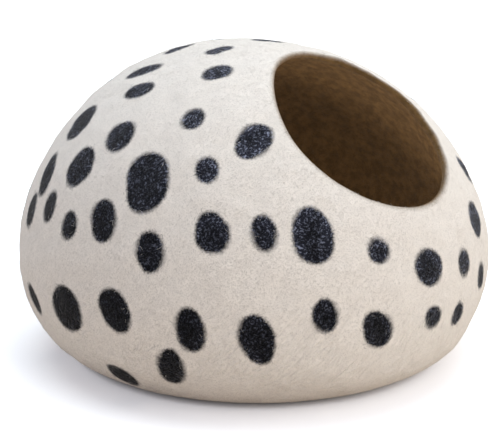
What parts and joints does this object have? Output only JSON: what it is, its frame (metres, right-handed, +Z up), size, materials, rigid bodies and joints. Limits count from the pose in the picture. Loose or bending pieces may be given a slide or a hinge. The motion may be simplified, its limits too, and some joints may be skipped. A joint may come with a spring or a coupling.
{
  "type": "felt cat cave",
  "caption": "Seamless dome of thick wet-felted wool with a flat base and a tilted oval opening, for a small pet to sleep in.",
  "frame": {"origin": "middle of the flat base, where it rests on the floor", "axes": "+Z up through the dome; the opening faces -Y and up"},
  "size_m": [0.4494, 0.4492, 0.2939],
  "materials": {
    "spotted_felt": "matt wet-felted wool, cream with flush charcoal spots outside and dark brown inside"
  },
  "bodies": {
    "root": {"felt_shell": "spotted_felt"}
  },
  "joints": []
}
